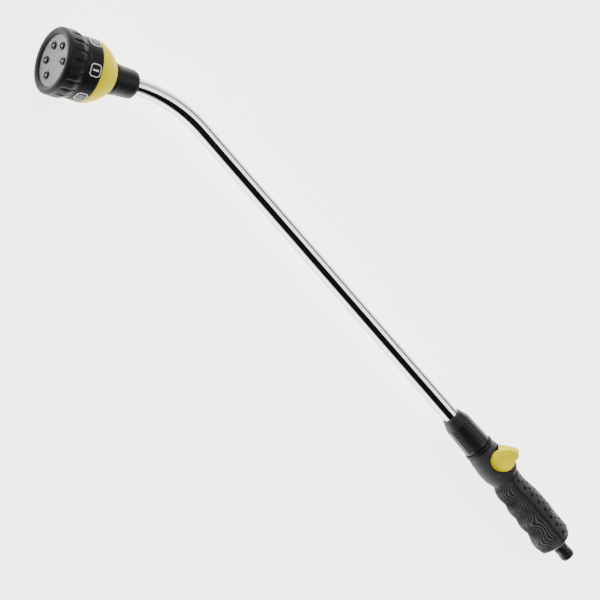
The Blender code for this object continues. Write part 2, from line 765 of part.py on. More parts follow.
def make_hose_end(handle):
    water_tube = piped(
        "water_tube",
        [(0.0, 0.0, WATER_TUBE_START), (-PLUG_DROP + 0.1, 0.0, WATER_TUBE_STOP)],
        handle,
        "grey_plastic",
        WATER_TUBE_RADIUS,
        6,
        caps=False,
    )
    hollow(water_tube, 1.6)
    at = (-PLUG_DROP, 0.0)
    turned(
        "plug_gasket",
        [(123.6, 3.4), (123.6, 5.8), (124.7, 5.8), (124.7, 3.4)],
        handle,
        "seal_rubber",
        24,
        at,
    )
    turned(
        "hose_plug",
        [
            (PLUG_START, 3.3), (PLUG_START, 6.0), (128.0, 6.0), (128.0, 8.2), (131.0, 8.2),
            (131.0, 6.0), (137.6, 6.0), (138.4, 7.1), (142.6, 7.1), (143.4, 6.2), (144.6, 6.2),
            (145.4, 7.2), (147.2, 7.2), (147.2, 5.7), (149.2, 5.7), (149.2, 7.2), (151.4, 7.2),
            (PLUG_END, 6.3), (PLUG_END, PLUG_BORE), (128.2, PLUG_BORE), (128.2, 3.3),
        ],
        handle,
        "black_plastic",
        ROUND,
        at,
    )
    ring("plug_seal", handle, "seal_rubber", 148.2, 6.6, 1.5, ROUND, at)
    sieve = turned(
        "inlet_filter",
        [(128.5, 0.0), (128.5, 3.9), (129.7, 3.9), (129.7, 0.0)],
        handle,
        "white_acetal",
        SMALL,
        at,
    )
    holes = [(0.0, 0.0)] + [
        (2.3 * math.cos(math.tau * i / 6), 2.3 * math.sin(math.tau * i / 6)) for i in range(6)
    ]
    for number, (x, y) in enumerate(holes):
        place = (at[0] + x, at[1] + y)
        hole = cylinder(f"sieve_hole_{number}", handle, None, 0.8, (*place, 127.0), (*place, 131.0), 8)
        boolean(sieve, "DIFFERENCE", [hole])


# ---------------------------------------------------------------- whole wand


def centre_on_origin(root):
    """Moves the whole wand so that the middle of its bounding box is the origin."""
    bpy.context.view_layer.update()
    graph = bpy.context.evaluated_depsgraph_get()
    corners = []
    for obj in PARTS.objects:
        if obj.type != "MESH":
            continue
        evaluated = obj.evaluated_get(graph)
        corners += [evaluated.matrix_world @ vertex.co for vertex in evaluated.data.vertices]
    low = Vector([min(c[i] for c in corners) for i in range(3)])
    high = Vector([max(c[i] for c in corners) for i in range(3)])
    root.location = -(low + high) / 2


def main():
    root, handle, lance, head, lever, spool = make_frames()
    make_head_body(head)
    make_head_core(head)
    make_dial(head)
    make_lance(lance)
    make_union_nut(handle)
    make_valve(handle, spool)
    make_lever(lever)
    make_housing_half("housing_left", 1.0, handle, lever)
    make_housing_half("housing_right", -1.0, handle, lever)
    make_screws(handle)
    make_grip(handle)
    make_hose_end(handle)
    centre_on_origin(root)
    bpy.context.view_layer.update()


clear_scene()
PARTS = new_collection("watering_wand")
CUTTERS = new_collection("cutters")
main()
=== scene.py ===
import json
import math

import bmesh
import bpy
import numpy as np
from mathutils import Matrix, Vector


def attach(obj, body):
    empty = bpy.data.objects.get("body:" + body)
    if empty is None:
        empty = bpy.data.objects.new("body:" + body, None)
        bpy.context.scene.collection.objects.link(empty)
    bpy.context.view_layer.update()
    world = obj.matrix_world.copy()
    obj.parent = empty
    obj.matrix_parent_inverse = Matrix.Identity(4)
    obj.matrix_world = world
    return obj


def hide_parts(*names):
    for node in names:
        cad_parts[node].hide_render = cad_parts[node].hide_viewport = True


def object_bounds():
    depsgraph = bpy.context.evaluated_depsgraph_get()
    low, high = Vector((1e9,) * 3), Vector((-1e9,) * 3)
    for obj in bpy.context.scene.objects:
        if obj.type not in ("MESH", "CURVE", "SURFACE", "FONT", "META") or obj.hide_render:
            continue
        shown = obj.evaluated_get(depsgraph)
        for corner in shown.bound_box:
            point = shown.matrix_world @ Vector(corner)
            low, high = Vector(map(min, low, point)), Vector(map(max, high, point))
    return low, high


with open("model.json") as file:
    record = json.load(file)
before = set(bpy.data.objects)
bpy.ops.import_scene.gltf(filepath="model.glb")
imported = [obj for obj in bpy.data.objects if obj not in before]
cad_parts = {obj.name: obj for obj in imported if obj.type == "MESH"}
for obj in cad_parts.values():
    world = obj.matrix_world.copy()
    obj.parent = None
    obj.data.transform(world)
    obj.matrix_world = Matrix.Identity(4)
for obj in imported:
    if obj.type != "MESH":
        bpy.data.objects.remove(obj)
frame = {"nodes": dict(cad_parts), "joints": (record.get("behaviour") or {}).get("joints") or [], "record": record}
cad_low, cad_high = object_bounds()

MM = 0.001
NODES = frame["nodes"]
JOINTS = {joint["name"]: joint for joint in frame["joints"]}

# The wand lies on its side: +X runs along the tube towards the hose, +Z is square to the bend.
AXIS_POINT = Vector(JOINTS["tube_turn"]["pos_m"])
NECK_END = Vector(JOINTS["dial_turn"]["pos_m"])
FACING = Vector(JOINTS["dial_turn"]["axis"])
LEVER_PIVOT = Vector(JOINTS["lever_turn"]["pos_m"])
SIDEWAYS = Vector(JOINTS["lever_turn"]["axis"])
ALONG = Vector((1.0, 0.0, 0.0))
UP = Vector((0.0, 0.0, 1.0))

# Handle sizes, in millimetres along the handle from the joint between union nut and housing.
GRIP_START = 42.0
SKIN_START = 42.7
GRIP_END = 134.0
HOUSING_END = 137.0
SKIN = 2.4
SEAM = 60.0  # degrees from the thumb side
MM_PER_DEGREE = 0.28  # round the grip
HUB_RADIUS = 12.3
HUB_WIDTH = 12.3
LEVER_X = 20.0
LEVER_HEIGHT = 14.0
LEVER_TRAVEL = math.radians(35.0)
FINGER_LENGTH = 10.0
BOSS_RADIUS = 9.8
BOSS_WIDTH = 9.0
CHEEK_START = 9.3
TAB_HALF_WIDTH = 4.2
TAB_CENTRE = 7.5
PLUG_DROP = 4.0


def placed_frame(x_axis, y_axis, z_axis, origin):
    """The matrix of a local frame whose axes point along these three directions."""
    turn = Matrix((x_axis, y_axis, z_axis)).transposed().to_4x4()
    return Matrix.Translation(origin) @ turn


# In the handle frame x points to the thumb side, y to the side that shows, z to the hose.
HANDLE = placed_frame(SIDEWAYS.cross(ALONG), SIDEWAYS, ALONG, AXIS_POINT)
LEVER = placed_frame(SIDEWAYS.cross(ALONG), SIDEWAYS, ALONG, LEVER_PIVOT)
HEAD = placed_frame(UP, FACING.cross(UP), FACING, NECK_END)
PLUG = HANDLE @ Matrix.Translation((-PLUG_DROP * MM, 0.0, 0.0))


# ---------------------------------------------------------------- modelling helpers


def only(piece):
    """Makes the piece the one selected and active object."""
    bpy.ops.object.select_all(action="DESELECT")
    piece.select_set(True)
    bpy.context.view_layer.objects.active = piece


def read_points(piece):
    points = np.empty(len(piece.data.vertices) * 3)
    piece.data.vertices.foreach_get("co", points)
    return points.reshape(-1, 3)


def write_points(piece, points):
    piece.data.vertices.foreach_set("co", np.ascontiguousarray(points, float).ravel())
    piece.data.update()


def weld(piece, distance=0.002):
    """Merges doubles closer than the distance, in millimetres, and turns the faces outwards."""
    only(piece)
    bpy.ops.object.mode_set(mode="EDIT")
    bpy.ops.mesh.select_all(action="SELECT")
    bpy.ops.mesh.remove_doubles(threshold=distance * MM)
    bpy.ops.mesh.normals_make_consistent(inside=False)
    bpy.ops.object.mode_set(mode="OBJECT")


def turned(name, profile, steps=128, soften=0.35):
    """A turned piece about local z from a profile of (z, radius) in millimetres, with rounded corners."""
    bpy.ops.mesh.primitive_circle_add(vertices=len(profile), radius=1.0, location=(0, 0, 0))
    piece = bpy.context.object
    piece.name = name
    write_points(piece, [(r * MM, 0.0, z * MM) for z, r in profile])
    solid = profile[0][1] == 0.0 and profile[-1][1] == 0.0
    bpy.ops.object.mode_set(mode="EDIT")
    if solid:
        mesh = bmesh.from_edit_mesh(piece.data)
        mesh.verts.ensure_lookup_table()
        closing = mesh.edges.get((mesh.verts[0], mesh.verts[len(profile) - 1]))
        mesh.edges.remove(closing)
        bmesh.update_edit_mesh(piece.data)
    bpy.ops.mesh.select_all(action="SELECT")
    bpy.ops.mesh.spin(steps=steps, angle=math.tau, center=(0, 0, 0), axis=(0, 0, 1))
    bpy.ops.object.mode_set(mode="OBJECT")
    weld(piece)
    if soften:
        bevelled(piece, soften)
    return piece


def bevelled(piece, width, segments=3, angle=30.0):
    """Rounds the piece's edges sharper than the angle; width in millimetres."""
    only(piece)
    rounding = piece.modifiers.new("rounding", "BEVEL")
    rounding.width = width * MM
    rounding.segments = segments
    rounding.limit_method = "ANGLE"
    rounding.angle_limit = math.radians(angle)
    bpy.ops.object.modifier_apply(modifier=rounding.name)


def wrapped(name, columns, rows, place):
    """A grid whose points go where place(u, v) puts them, in millimetres, welded where it meets itself."""
    bpy.ops.mesh.primitive_grid_add(x_subdivisions=columns, y_subdivisions=rows, size=2.0)
    piece = bpy.context.object
    piece.name = name
    flat = read_points(piece)
    points = place((flat[:, 0] + 1) / 2, (flat[:, 1] + 1) / 2)
    write_points(piece, np.stack(points[:3], axis=1) * MM)
    # A fourth value is kept as a point attribute: the painted highlight and shade of the grip's raised pattern.
    if len(points) > 3:
        relief_and_painted_light = piece.data.attributes.new("relief_and_painted_light", "FLOAT", "POINT")
        relief_and_painted_light.data.foreach_set("value", np.ascontiguousarray(points[3], np.float32))
    weld(piece)
    return piece


def rod(name, radius, start, end, vertices=64):
    """A capped round bar between two points in millimetres."""
    start, end = Vector(start), Vector(end)
    along = end - start
    bpy.ops.mesh.primitive_cylinder_add(
        vertices=vertices,
        radius=radius * MM,
        depth=along.length * MM,
        location=(start + end) / 2 * MM,
        rotation=along.to_track_quat("Z", "Y").to_euler(),
    )
    piece = bpy.context.object
    piece.name = name
    bpy.ops.object.transform_apply(location=True, rotation=True, scale=True)
    return piece


def slab(name, low, high):
    """A box between two corners in millimetres."""
    low, high = Vector(low), Vector(high)
    bpy.ops.mesh.primitive_cube_add(size=1.0, location=(low + high) / 2 * MM, scale=(high - low) * MM)
    piece = bpy.context.object
    piece.name = name
    bpy.ops.object.transform_apply(location=True, rotation=True, scale=True)
    return piece


def prism(name, outline, half_width):
    """A flat outline of (z, x) points in millimetres, extruded both ways along y."""
    bpy.ops.mesh.primitive_circle_add(vertices=len(outline), radius=1.0, fill_type="NGON")
    piece = bpy.context.object
    piece.name = name
    write_points(piece, [(x * MM, -half_width * MM, z * MM) for z, x in outline])
    bpy.ops.object.mode_set(mode="EDIT")
    bpy.ops.mesh.select_all(action="SELECT")
    bpy.ops.mesh.extrude_region_move(TRANSFORM_OT_translate={"value": (0, 2 * half_width * MM, 0)})
    bpy.ops.mesh.select_all(action="SELECT")
    bpy.ops.mesh.normals_make_consistent(inside=False)
    bpy.ops.object.mode_set(mode="OBJECT")
    return piece


def cut(piece, *cutters):
    combine(piece, "DIFFERENCE", cutters)


def join_solid(piece, *others):
    combine(piece, "UNION", others)


def combine(piece, operation, others):
    """Applies a Boolean with each other object and removes that object."""
    for other in others:
        only(piece)
        step = piece.modifiers.new("combine", "BOOLEAN")
        step.operation = operation
        step.object = other
        step.solver = "EXACT"
        bpy.ops.object.modifier_apply(modifier=step.name)
        bpy.data.objects.remove(other, do_unlink=True)


def moulded(piece, voxel, smoothing):
    """Rebuilds a piece as an even skin and softens its edges, as moulding does."""
    only(piece)
    skin = piece.modifiers.new("skin", "REMESH")
    skin.mode = "VOXEL"
    skin.voxel_size = voxel * MM
    bpy.ops.object.modifier_apply(modifier=skin.name)
    soft = piece.modifiers.new("soft", "SMOOTH")
    soft.factor = 0.5
    soft.iterations = smoothing
    bpy.ops.object.modifier_apply(modifier=soft.name)


def joined(name, pieces):
    """Several objects as one."""
    bpy.ops.object.select_all(action="DESELECT")
    for piece in pieces:
        piece.select_set(True)
    bpy.context.view_layer.objects.active = pieces[0]
    bpy.ops.object.join()
    piece = bpy.context.object
    piece.name = name
    return piece


def done(piece, local_frame, body, slot, *nodes, smooth=35.0):
    """Puts a finished piece in place, gives it its body and finish, and hides the CAD nodes it stands for."""
    piece.data.transform(local_frame)
    piece.data.update()
    only(piece)
    bpy.ops.object.shade_smooth_by_angle(angle=math.radians(smooth))
    piece.data.materials.clear()
    piece.data.materials.append(MATERIALS[slot])
    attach(piece, body)
    if nodes:
        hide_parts(*nodes)
    return piece


def copy_of(piece, name):
    twin = piece.copy()
    twin.data = piece.data.copy()
    twin.name = name
    bpy.context.scene.collection.objects.link(twin)
    return twin


# ---------------------------------------------------------------- materials


class Nodes:
    """A small wrapper round a material's node tree."""

    def __init__(self, name):
        self.material = bpy.data.materials.new(name)
        self.material.use_nodes = True
        self.tree = self.material.node_tree
        self.shader = self.tree.nodes["Principled BSDF"]
        self.place = self.add("ShaderNodeTexCoord").outputs["Object"]

    def add(self, kind, **settings):
        node = self.tree.nodes.new(kind)
        for key, value in settings.items():
            setattr(node, key, value)
        return node

    def link(self, source, target):
        self.tree.links.new(source, target)

    def noise(self, scale, detail=3.0, stretch=None, turn=(0.0, 0.0, 0.0)):
        """A noise pattern on the piece, stretched by a mapping where stretch is given."""
        node = self.add("ShaderNodeTexNoise")
        node.inputs["Scale"].default_value = scale
        node.inputs["Detail"].default_value = detail
        source = self.place
        if stretch:
            mapping = self.add("ShaderNodeMapping")
            mapping.inputs["Rotation"].default_value = turn
            mapping.inputs["Scale"].default_value = stretch
            self.link(source, mapping.inputs["Vector"])
            source = mapping.outputs["Vector"]
        self.link(source, node.inputs["Vector"])
        return node.outputs["Fac"]

    def spread(self, value, low, high, to_low, to_high):
        """Maps a value from one range to another, clamped."""
        node = self.add("ShaderNodeMapRange")
        node.inputs["From Min"].default_value = low
        node.inputs["From Max"].default_value = high
        node.inputs["To Min"].default_value = to_low
        node.inputs["To Max"].default_value = to_high
        self.link(value, node.inputs["Value"])
        return node.outputs["Result"]

    def ramp(self, value, first, second, low=0.3, high=0.7):
        """A colour between two, by a value."""
        node = self.add("ShaderNodeValToRGB")
        node.color_ramp.elements[0].position = low
        node.color_ramp.elements[0].color = (*first, 1.0)
        node.color_ramp.elements[1].position = high
        node.color_ramp.elements[1].color = (*second, 1.0)
        self.link(value, node.inputs["Fac"])
        return node.outputs["Color"]

    def bump(self, *layers):
        """Bumps from (height, strength, distance in millimetres) layers, one over the other."""
        normal = None
        for height, strength, distance in layers:
            node = self.add("ShaderNodeBump")
            node.inputs["Strength"].default_value = strength
            node.inputs["Distance"].default_value = distance * MM
            self.link(height, node.inputs["Height"])
            if normal:
                self.link(normal, node.inputs["Normal"])
            normal = node.outputs["Normal"]
        self.link(normal, self.shader.inputs["Normal"])


def moulded_plastic(
    name, colour, roughness, grain=2600.0, grain_depth=0.02, mottle=0.12, specular=0.5
):
    """Injection-moulded plastic: fine spark grain, faint flow mottling and uneven gloss."""
    made = Nodes(name)
    darker = tuple(c * (1 - mottle) for c in colour)
    lighter = tuple(c * (1 + mottle) for c in colour)
    flow = made.noise(38.0, 4.0)
    made.link(made.ramp(flow, darker, lighter), made.shader.inputs["Base Color"])
    uneven = made.noise(120.0, 5.0)
    gloss = made.spread(uneven, 0.3, 0.7, roughness - 0.05, roughness + 0.07)
    made.link(gloss, made.shader.inputs["Roughness"])
    made.shader.inputs["Specular IOR Level"].default_value = specular
    made.bump((made.noise(grain, 2.0), 0.5, grain_depth), (made.noise(300.0, 2.0), 0.15, grain_depth))
    return made.material


def soft_rubber(name, colour, roughness, grain_depth=0.03, relief_and_painted_light=False):
    """Soft-touch rubber: matt and a little dusty. Where it has a raised pattern, painted highlight lightens the
    high spots and painted shade darkens the hollows.
    """
    made = Nodes(name)
    dust = made.noise(160.0, 6.0)
    if relief_and_painted_light:
        # The attribute holds painted light: painted highlight on the raised spots and painted shade in the
        # hollows, with dust noise added to it.
        height = made.add("ShaderNodeAttribute", attribute_name="relief_and_painted_light").outputs["Fac"]
        dust_and_painted_light = made.add("ShaderNodeMath", operation="MULTIPLY_ADD")
        made.link(made.spread(dust, 0.3, 0.7, -0.12, 0.12), dust_and_painted_light.inputs[0])
        dust_and_painted_light.inputs[1].default_value = 1.0
        made.link(height, dust_and_painted_light.inputs[2])
        # The dark end is painted shade for the hollows and the bright end is a painted highlight for the high
        # spots.
        hollow, painted_highlight = (tuple(c * factor for c in colour) for factor in (0.15, 2.6))
        colours = made.ramp(dust_and_painted_light.outputs["Value"], hollow, painted_highlight, 0.1, 0.9)
    else:
        colours = made.ramp(dust, tuple(c * 0.8 for c in colour), tuple(c * 1.3 for c in colour))
    made.link(colours, made.shader.inputs["Base Color"])
    gloss = made.spread(made.noise(90.0, 4.0), 0.3, 0.7, roughness - 0.08, roughness + 0.06)
    made.link(gloss, made.shader.inputs["Roughness"])
    made.shader.inputs["Specular IOR Level"].default_value = 0.3
    made.bump((made.noise(1900.0, 3.0), 0.5, grain_depth))
    return made.material


def bright_metal(name, colour, roughness, stretch, edge=(1.0, 1.0, 1.0), depth=0.004):
    """Polished or brushed metal with fine drawn lines and small changes in gloss."""
    made = Nodes(name)
    drawn = made.noise(900.0, 3.0, stretch)
    cloud = made.noise(14.0, 4.0)
    clouded = made.ramp(cloud, tuple(c * 0.96 for c in colour), colour)
    made.link(clouded, made.shader.inputs["Base Color"])
    gloss = made.spread(drawn, 0.3, 0.7, roughness * 0.7, roughness * 1.4)
    made.link(gloss, made.shader.inputs["Roughness"])
    made.shader.inputs["Metallic"].default_value = 1.0
    made.shader.inputs["Specular Tint"].default_value = (*edge, 1.0)
    made.bump((drawn, 0.3, depth))
    return made.material


def hatched_face(name):
    """The face plate's silver-grey skin with a fine crossed hatch."""
    made = Nodes(name)
    one_way = made.noise(1500.0, 2.0, (1.0, 0.06, 1.0), (0.0, 0.0, math.radians(35)))
    other_way = made.noise(1500.0, 2.0, (0.06, 1.0, 1.0), (0.0, 0.0, math.radians(-20)))
    both = made.add("ShaderNodeMath", operation="ADD")
    made.link(one_way, both.inputs[0])
    made.link(other_way, both.inputs[1])
    hatch = both.outputs["Value"]
    lines = made.spread(hatch, 0.7, 1.3, 0.0, 1.0)
    colours = made.ramp(lines, (0.05, 0.051, 0.053), (0.13, 0.133, 0.137))
    made.link(colours, made.shader.inputs["Base Color"])
    made.link(made.spread(hatch, 0.7, 1.3, 0.45, 0.28), made.shader.inputs["Roughness"])
    made.shader.inputs["Metallic"].default_value = 0.75
    made.bump((hatch, 0.4, 0.02))
    return made.material


def printed_ink(name):
    """White pad-printed ink with slight wear."""
    made = Nodes(name)
    wear = made.noise(700.0, 5.0)
    colours = made.ramp(wear, (0.45, 0.45, 0.44), (0.8, 0.8, 0.78), 0.3, 0.45)
    made.link(colours, made.shader.inputs["Base Color"])
    made.link(made.spread(wear, 0.3, 0.7, 0.4, 0.6), made.shader.inputs["Roughness"])
    made.bump((wear, 0.3, 0.01))
    return made.material


BLACK = (0.007, 0.007, 0.0075)
MATERIALS = {
    "yellow_shell": moulded_plastic("yellow_shell", (0.90, 0.72, 0.0), 0.45, 2200.0, 0.008, 0.04, 0.05),
    "lever_yellow": moulded_plastic("lever_yellow", (0.93, 0.77, 0.0), 0.45, 2200.0, 0.008, 0.04, 0.05),
    "dial_plastic": moulded_plastic("dial_plastic", BLACK, 0.42, 2400.0, 0.02, 0.2, 0.15),
    "neck_plastic": moulded_plastic("neck_plastic", (0.006, 0.006, 0.0065), 0.44, 2400.0, 0.02, 0.2, 0.2),
    "nut_plastic": moulded_plastic("nut_plastic", (0.010, 0.010, 0.0105), 0.36, 2400.0, 0.02, 0.2, 0.3),
    "collar_plastic": moulded_plastic("collar_plastic", (0.005, 0.005, 0.005), 0.45, 2400.0, 0.02, 0.2, 0.2),
    "plug_plastic": moulded_plastic("plug_plastic", (0.008, 0.008, 0.0085), 0.38, 2400.0, 0.015, 0.2, 0.3),
    "housing_plastic": moulded_plastic(
        "housing_plastic", (0.026, 0.026, 0.029), 0.5, 2600.0, 0.03, 0.12, 0.25
    ),
    "nozzle_plastic": moulded_plastic("nozzle_plastic", (0.004, 0.004, 0.004), 0.3, 2600.0, 0.006, 0.2, 0.3),
    "pin_plastic": moulded_plastic("pin_plastic", (0.22, 0.22, 0.22), 0.35, 2600.0, 0.006, 0.05, 0.3),
    "inner_plastic": moulded_plastic("inner_plastic", (0.4, 0.4, 0.4), 0.5, 2600.0, 0.02, 0.06),
    "acetal": moulded_plastic("acetal", (0.7, 0.7, 0.66), 0.35, 2600.0, 0.008, 0.04),
    "seal_rubber": soft_rubber("seal_rubber", (0.012, 0.012, 0.012), 0.55, 0.01),
    # The grip and pad rubbers take painted highlight and shade from their raised pattern.
    "grip_rubber": soft_rubber("grip_rubber", (0.020, 0.020, 0.021), 0.62, 0.03, True),
    "pad_rubber": soft_rubber("pad_rubber", (0.019, 0.019, 0.020), 0.6, 0.03, True),
    "face_metal": hatched_face("face_metal"),
    "steel": bright_metal("steel", (0.6, 0.6, 0.62), 0.25, (1.0, 1.0, 0.1)),
    "ferrule_metal": bright_metal("ferrule_metal", (0.75, 0.75, 0.77), 0.3, (0.1, 1.0, 1.0)),
    "chrome_tube": bright_metal(
        "chrome_tube", (0.93, 0.93, 0.94), 0.07, (0.03, 1.0, 1.0), (0.0, 0.0, 0.0), 0.002
    ),
}
INK = printed_ink("printed_ink")


def finish_frame_nodes():
    """Gives every CAD node the finish of its own slot."""
    for subpart in frame["record"]["subparts"]:
        node = NODES[subpart["node"]]
        node.data.materials.clear()
        node.data.materials.append(MATERIALS[subpart["material_slot"]])


# ---------------------------------------------------------------- spray head

BAND_RADIUS = 31.4


def make_head_shell():
    profile = [
        (36.0, 14.2), (36.0, 16.0), (36.6, 16.7), (38.5, 19.1), (40.5, 21.0), (43.0, 23.1),
        (46.0, 25.3), (49.0, 27.2), (52.0, 28.8), (55.0, 30.1), (58.0, 31.0), (60.2, 31.45),
        (61.0, 31.3), (61.0, 29.3), (55.0, 27.6), (50.0, 25.2), (45.0, 21.8), (40.0, 17.6),
    ]
    shell = turned("head_shell_skin", profile, 160, 0.25)
    done(shell, HEAD, "lance", "yellow_shell", "head_shell")


def make_neck():
    profile = [
        (26.0, 8.3), (20.0, 8.3), (7.5, 8.3), (7.5, 10.4), (8.0, 11.8), (9.1, 13.1), (10.7, 13.9),
        (12.5, 14.3), (18.0, 14.6), (31.0, 15.2), (31.4, 15.9), (35.2, 15.9), (35.7, 15.3),
        (35.7, 9.6), (44.0, 9.6), (44.0, 5.0), (26.0, 5.0),
    ]
    neck = turned("neck_socket_skin", profile, 128, 0.3)
    done(neck, HEAD, "lance", "neck_plastic", "neck_socket")


def dial_radius(angle, along, radius):
    """The dial's outer radius with its grip flutes: shallow scoops with a fine ridge on one side."""
    count = 20
    phase = np.mod(angle * count / math.tau + 0.5, 1.0) - 0.5
    reach = np.clip((along - 77.5) / 3.0, 0, 1) * np.clip((95.5 - along) / 3.0, 0, 1)
    scoop = np.exp(-((phase / 0.13) ** 2))
    ridge = np.exp(-(((phase - 0.27) / 0.08) ** 2))
    return radius - reach * (1.0 * scoop - 0.12 * ridge)


def make_dial_ring():
    outside = [
        (61.3, 28.5), (61.3, 30.9), (61.9, 31.4), (63.0, BAND_RADIUS), (74.0, BAND_RADIUS),
        (74.8, 31.2), (75.6, 30.7), (76.6, 30.6),
    ]
    rise = [
        (z, 30.6 + 3.0 * (0.5 - 0.5 * math.cos(math.pi * (z - 77.0) / 9.0)))
        for z in [77.0 + 0.75 * i for i in range(13)]
    ]
    rim = [(z, 33.6) for z in (87.5, 89.0, 90.5, 92.0, 93.5, 95.0, 96.0, 97.0)]
    lip = [
        (101.0 - 3.6 * (1 - math.sin(a)), 30.0 + 3.6 * math.cos(a))
        for a in [math.radians(8 + 82 * i / 12) for i in range(13)]
    ]
    inside = [
        (100.9, 29.2), (100.5, 27.6), (99.8, 26.5), (99.0, 25.9), (98.6, 25.7), (98.4, 28.4),
    ]
    ring = turned("dial_ring_skin", outside + rise + rim + lip + inside, 360, None)
    points = read_points(ring) / MM
    radius = np.hypot(points[:, 0], points[:, 1])
    angle = np.arctan2(points[:, 1], points[:, 0])
    fluted = dial_radius(angle, points[:, 2], radius)
    scale = np.where(radius > 30.2, fluted / radius, 1.0)
    points[:, 0] *= scale
    points[:, 1] *= scale
    write_points(ring, points * MM)
    done(ring, HEAD, "dial", "dial_plastic", "dial_ring", smooth=50.0)


NOZZLE_ANGLES = [math.radians(-5.0 + 60.0 * number) for number in range(5)]
NOZZLE_CIRCLE = 17.0


def nozzle_place(angle):
    return Vector((NOZZLE_CIRCLE * math.cos(angle), NOZZLE_CIRCLE * math.sin(angle), 0.0))


def make_face_plate():
    profile = [
        (95.3, 0.0), (95.3, 28.0), (98.2, 28.0), (98.25, 25.4), (98.0, 24.4), (97.6, 22.0),
        (97.3, 16.0), (97.2, 8.0), (97.2, 0.0),
    ]
    plate = turned("face_plate_skin", profile, 192, 0.15)
    for angle in NOZZLE_ANGLES:
        place = nozzle_place(angle)
        cut(plate, rod("hole", 4.15, (*place[:2], 90.0), (*place[:2], 102.0), 64))
    bevelled(plate, 0.25, 2, 50.0)
    done(plate, HEAD, "dial", "face_metal", "face_plate", smooth=30.0)


def make_nozzles():
    """Five inserts: a rounded collar with a stepped bore, and a light spray pin on a cross of webs."""
    collar_profile = [
        (64.6, 2.7), (64.6, 5.2), (66.2, 5.2), (66.2, 3.9), (97.9, 3.9), (98.5, 3.7), (98.7, 3.3),
        (98.5, 2.9), (97.6, 2.6), (96.8, 2.6), (90.0, 2.3), (84.0, 2.6),
    ]
    pin_profile = [
        (84.0, 0.0), (84.0, 1.0), (95.4, 1.0), (96.2, 1.35), (97.6, 1.55), (98.2, 1.35),
        (98.4, 0.8), (98.4, 0.0),
    ]
    collar = turned("nozzle_skin", collar_profile, 64, 0.12)
    pin = turned("spray_pin_skin", pin_profile, 48, 0.1)
    join_solid(
        pin,
        slab("web", (-2.25, -0.35, 84.5), (2.25, 0.35, 95.0)),
        slab("web", (-0.35, -2.25, 84.5), (0.35, 2.25, 95.0)),
    )
    for number, angle in enumerate(NOZZLE_ANGLES, 1):
        place = HEAD @ Matrix.Translation(nozzle_place(angle) * MM) @ Matrix.Rotation(angle, 4, "Z")
        done(copy_of(collar, f"nozzle_skin_{number}"), place, "dial", "nozzle_plastic", f"nozzle_{number}")
        done(copy_of(pin, f"spray_pin_skin_{number}"), place, "dial", "pin_plastic", f"spray_pin_{number}")
    for first in (collar, pin):
        bpy.data.objects.remove(first, do_unlink=True)


# The pattern marks on the dial: drawn flat as (across, along) in millimetres, then wrapped round it.
MARK_DEPTH = 0.12


def stroke(start, end, width):
    """A bar between two points of a mark."""
    start, end = Vector(start), Vector(end)
    along = end - start
    size = Vector((along.length, width, MARK_DEPTH)) * MM
    bpy.ops.mesh.primitive_cube_add(size=1.0, location=(0, 0, 0), scale=size)
    bar = bpy.context.object
    bpy.ops.object.transform_apply(location=False, rotation=False, scale=True)
    bpy.ops.object.mode_set(mode="EDIT")
    bpy.ops.mesh.select_all(action="SELECT")
    bpy.ops.mesh.subdivide(number_cuts=5)
    bpy.ops.object.mode_set(mode="OBJECT")
    middle = (start + end) / 2 * MM
    turn = Matrix.Rotation(math.atan2(along.y, along.x), 4, "Z")
    bar.data.transform(Matrix.Translation((middle.x, middle.y, 0)) @ turn)
    return bar


def dot(centre, radius):
    place = (centre[0] * MM, centre[1] * MM, 0)
    bpy.ops.mesh.primitive_cylinder_add(
        vertices=20, radius=radius * MM, depth=MARK_DEPTH * MM, location=place
    )
    bpy.ops.object.transform_apply(location=True, rotation=True, scale=True)
    return bpy.context.object


def mark_border():
    """A rounded-square outline with cut corners."""
    half_across, half_along, corner = 6.0, 5.4, 2.0
    points = [
        (-half_across + corner, -half_along), (half_across - corner, -half_along),
        (half_across, -half_along + corner), (half_across, half_along - corner),
        (half_across - corner, half_along), (-half_across + corner, half_along),
        (-half_across, half_along - corner), (-half_across, -half_along + corner),
    ]
    return [stroke(a, b, 0.9) for a, b in zip(points, points[1:] + points[:1])]


def mark_symbol(number):
    """One of six plain spray pictures: bar, shower, fan, ring, cone and mist."""
    if number == 0:
        return [stroke((0, -3.0), (0, 3.2), 1.7)]
    if number == 1:
        return [dot((x, y), 0.55) for x in (-2.4, 0, 2.4) for y in (-2.2, 0, 2.2)]
    if number == 2:
        return [stroke((0, -3.0), (x, 3.0), 0.7) for x in (-3.0, -1.0, 1.0, 3.0)]
    if number == 3:
        angles = [math.tau * i / 8 for i in range(8)]
        return [dot((2.6 * math.cos(a), 2.6 * math.sin(a)), 0.6) for a in angles]
    if number == 4:
        sides = [stroke((-0.6, -3.0), (-3.0, 3.0), 0.8), stroke((0.6, -3.0), (3.0, 3.0), 0.8)]
        return sides + [stroke((-2.4, 3.0), (2.4, 3.0), 0.8)]
    return [dot((x, y), 0.35) for x in (-3, -1.5, 0, 1.5, 3) for y in (-2.6, -0.9, 0.9, 2.6)]


def make_marks():
    for number in range(6):
        mark = joined(f"pattern_mark_{number + 1}", mark_border() + mark_symbol(number))
        points = read_points(mark) / MM
        angle = math.radians(-6.0 + 60.0 * number) + points[:, 0] / BAND_RADIUS
        radius = BAND_RADIUS + points[:, 2]
        along = 68.2 - points[:, 1]
        write_points(mark, np.stack((radius * np.cos(angle), radius * np.sin(angle), along), axis=1) * MM)
        weld(mark, 0.0005)
        done(mark, HEAD, "dial", "pin_plastic")
        mark.data.materials.clear()
        mark.data.materials.append(INK)


# ---------------------------------------------------------------- tube and union nut

TUBE_RADIUS = 8.0
BEND_RADIUS = 155.0
BEND_VERTEX = -486.0
HEAD_FROM_VERTEX = 38.1
TUBE_STOP = 25.0
BEND = math.atan2(-FACING.y, -FACING.x)


